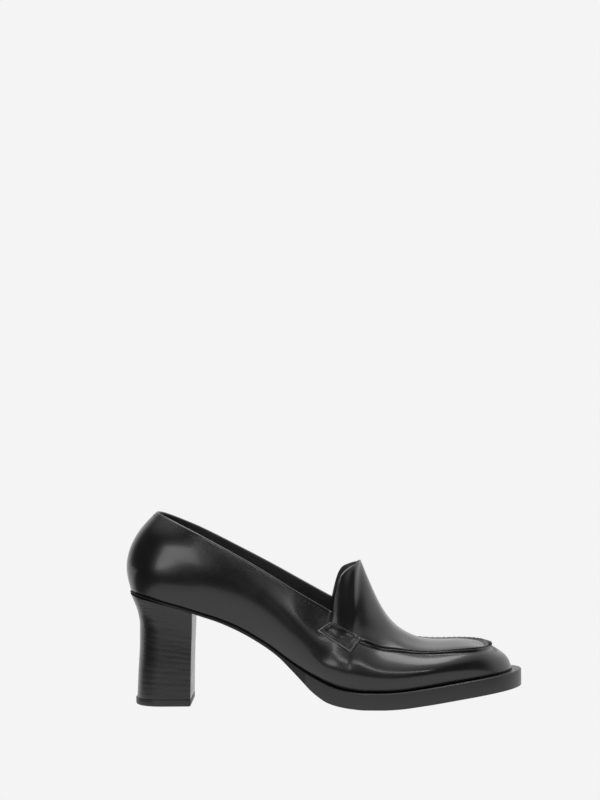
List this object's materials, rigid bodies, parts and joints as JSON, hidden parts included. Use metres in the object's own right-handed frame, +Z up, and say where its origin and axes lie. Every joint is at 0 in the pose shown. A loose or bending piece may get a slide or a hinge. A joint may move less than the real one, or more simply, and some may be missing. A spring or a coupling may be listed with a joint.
{
  "type": "loafer pump",
  "caption": "Slip-on loafer pump in polished leather with an apron toe, a raised throat tongue, stitched side tabs, a thin rubber sole and a straight block heel.",
  "frame": {"origin": "on the floor, under the middle of the heel's top lift", "axes": "+X toward the toe, +Z up, -Y toward the outer side of the foot"},
  "size_m": [0.2468, 0.0887, 0.1205],
  "materials": {
    "sole_rubber": "satin black",
    "heel_leather": "waxed stacked leather, black",
    "lift_rubber": "matt black",
    "sock_leather": "matt black lining leather",
    "upper_leather": "polished smooth black calf",
    "seam_leather": "polished smooth black calf, rolled seam",
    "outer_tab_leather": "polished smooth black calf, stitched edge",
    "inner_tab_leather": "polished smooth black calf, stitched edge"
  },
  "bodies": {
    "root": {"outsole": "sole_rubber", "heel": "heel_leather", "top_lift": "lift_rubber", "insole": "sock_leather", "upper": "upper_leather", "apron_seam": "seam_leather", "tab_lateral": "outer_tab_leather", "tab_medial": "inner_tab_leather"}
  },
  "joints": []
}
